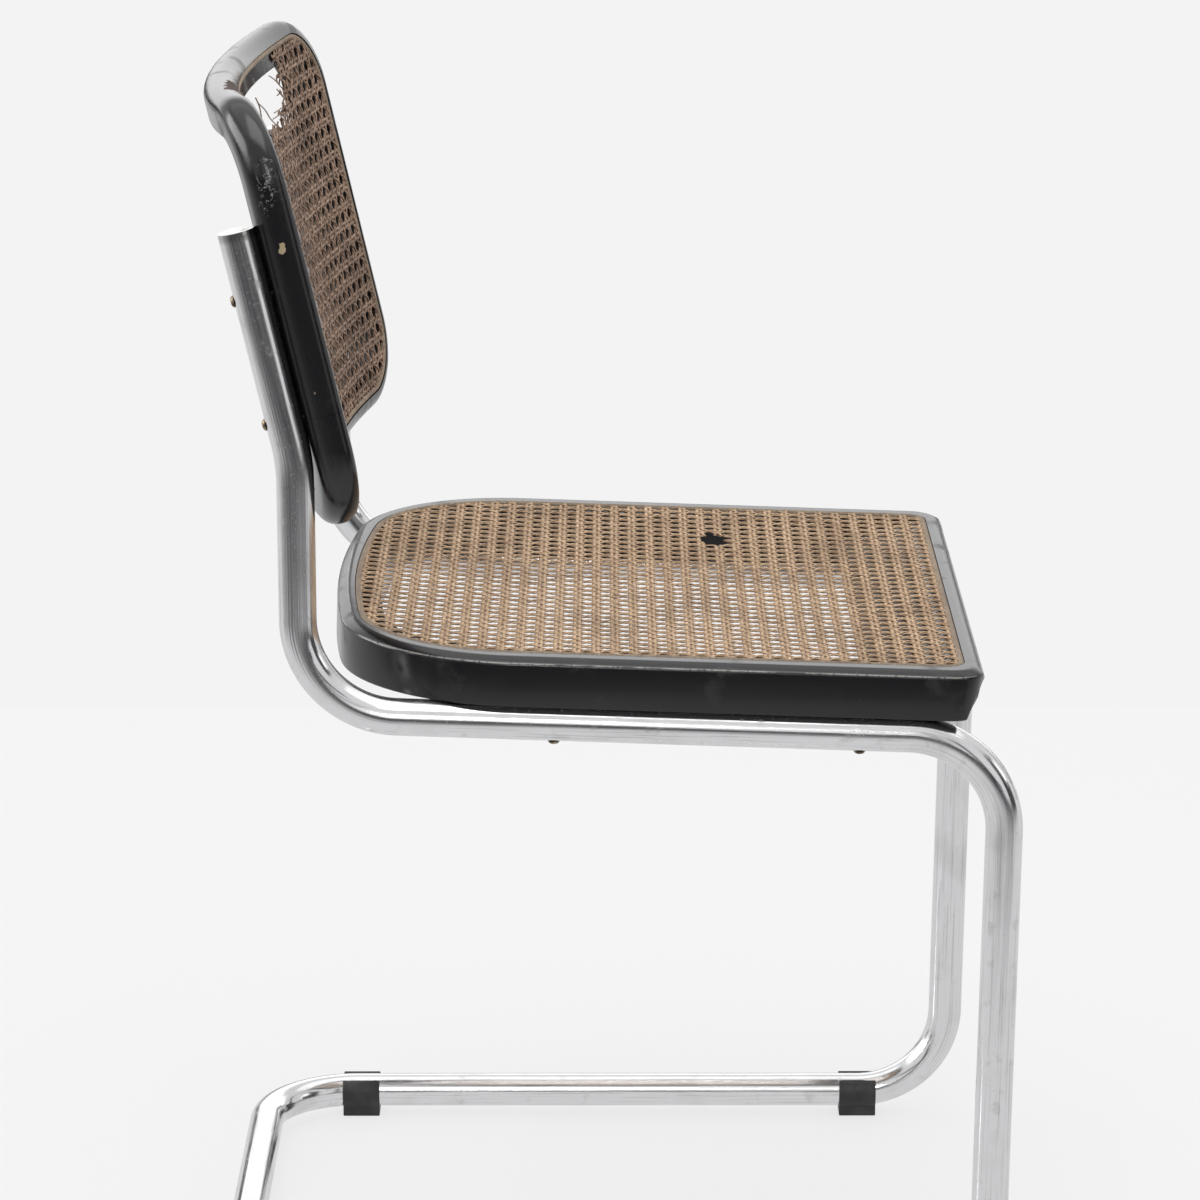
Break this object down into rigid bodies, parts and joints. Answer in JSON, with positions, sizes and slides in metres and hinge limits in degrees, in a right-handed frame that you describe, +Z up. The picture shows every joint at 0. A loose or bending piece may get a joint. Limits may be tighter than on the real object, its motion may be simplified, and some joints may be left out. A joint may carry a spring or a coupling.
{
  "type": "cantilever dining chair",
  "caption": "Cantilever dining chair: one bent chromed tube carrying a black-lacquered wooden seat and a curved back, both with cane webbing.",
  "frame": {"origin": "on the floor, at the centre of the chair's outline seen from above", "axes": "X across the chair with +X on the sitter's left, -Y to the front, +Z up"},
  "size_m": [0.4706, 0.5526, 0.8526],
  "materials": {
    "chrome_tube": "polished chrome plate, dulled and lightly pitted",
    "black_plastic": "satin black moulded plastic",
    "black_lacquer": "black lacquer on beech, worn at the edges",
    "bare_wood": "bare beech",
    "woven_cane": "aged natural cane, satin",
    "reed_spline": "aged reed, satin",
    "steel_screws": "plated steel, slightly dull"
  },
  "bodies": {
    "root": {"frame_tube": "chrome_tube", "tube_end_cap_left": "chrome_tube", "tube_end_cap_right": "chrome_tube", "floor_glide_front_left": "black_plastic", "floor_glide_front_right": "black_plastic", "floor_glide_rear_left": "black_plastic", "floor_glide_rear_right": "black_plastic", "seat_bent_rim": "black_lacquer", "seat_front_rail": "black_lacquer", "seat_front_dowels": "bare_wood", "seat_cane": "woven_cane", "seat_spline": "reed_spline", "back_upper_frame": "black_lacquer", "back_lower_rail": "black_lacquer", "back_cane": "woven_cane", "back_spline": "reed_spline", "seat_screws_left": "steel_screws", "seat_screws_right": "steel_screws", "back_screws_left": "steel_screws", "back_screws_right": "steel_screws"}
  },
  "joints": []
}
